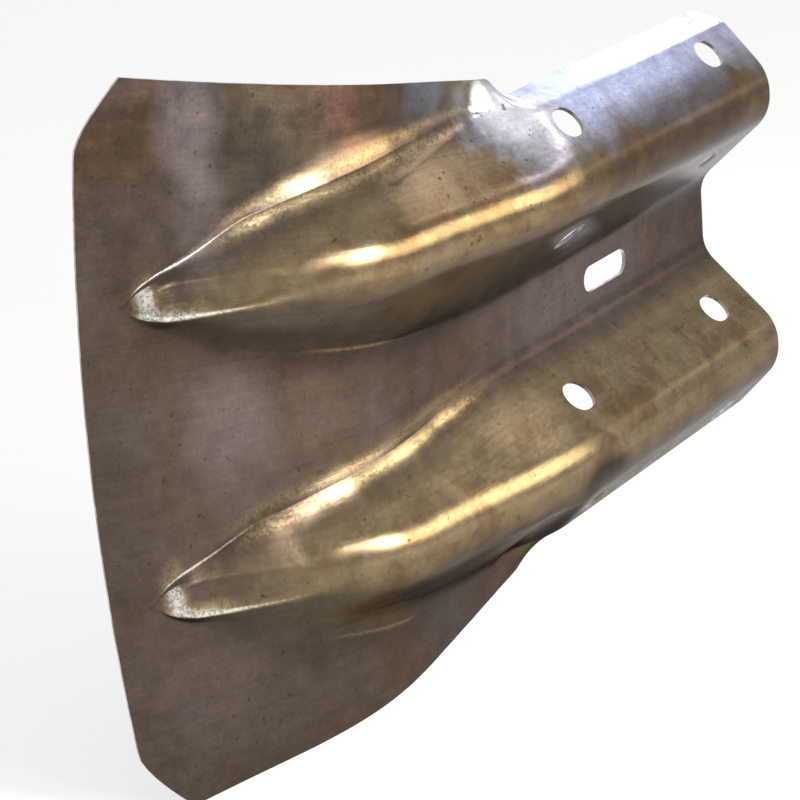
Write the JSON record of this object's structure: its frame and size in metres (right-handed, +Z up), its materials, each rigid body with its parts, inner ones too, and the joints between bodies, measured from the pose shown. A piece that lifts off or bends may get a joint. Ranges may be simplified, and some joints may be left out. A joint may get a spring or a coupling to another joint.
{
  "type": "guardrail flared end section",
  "caption": "Flared end section that closes a two-wave steel guardrail: slotted lap end for bolting over the rail, waves fading into a wide plate that curls back.",
  "frame": {"origin": "centre of the post bolt slot, on the back face of the valley", "axes": "+X along the rail towards the lap end, -Y towards the traffic, +Z up across the waves"},
  "size_m": [0.6427, 0.1623, 0.474],
  "materials": {
    "galvanised_sheet": "hot-dip galvanised, dull satin with worn bright edges"
  },
  "bodies": {
    "root": {"terminal_plate": "galvanised_sheet"}
  },
  "joints": []
}
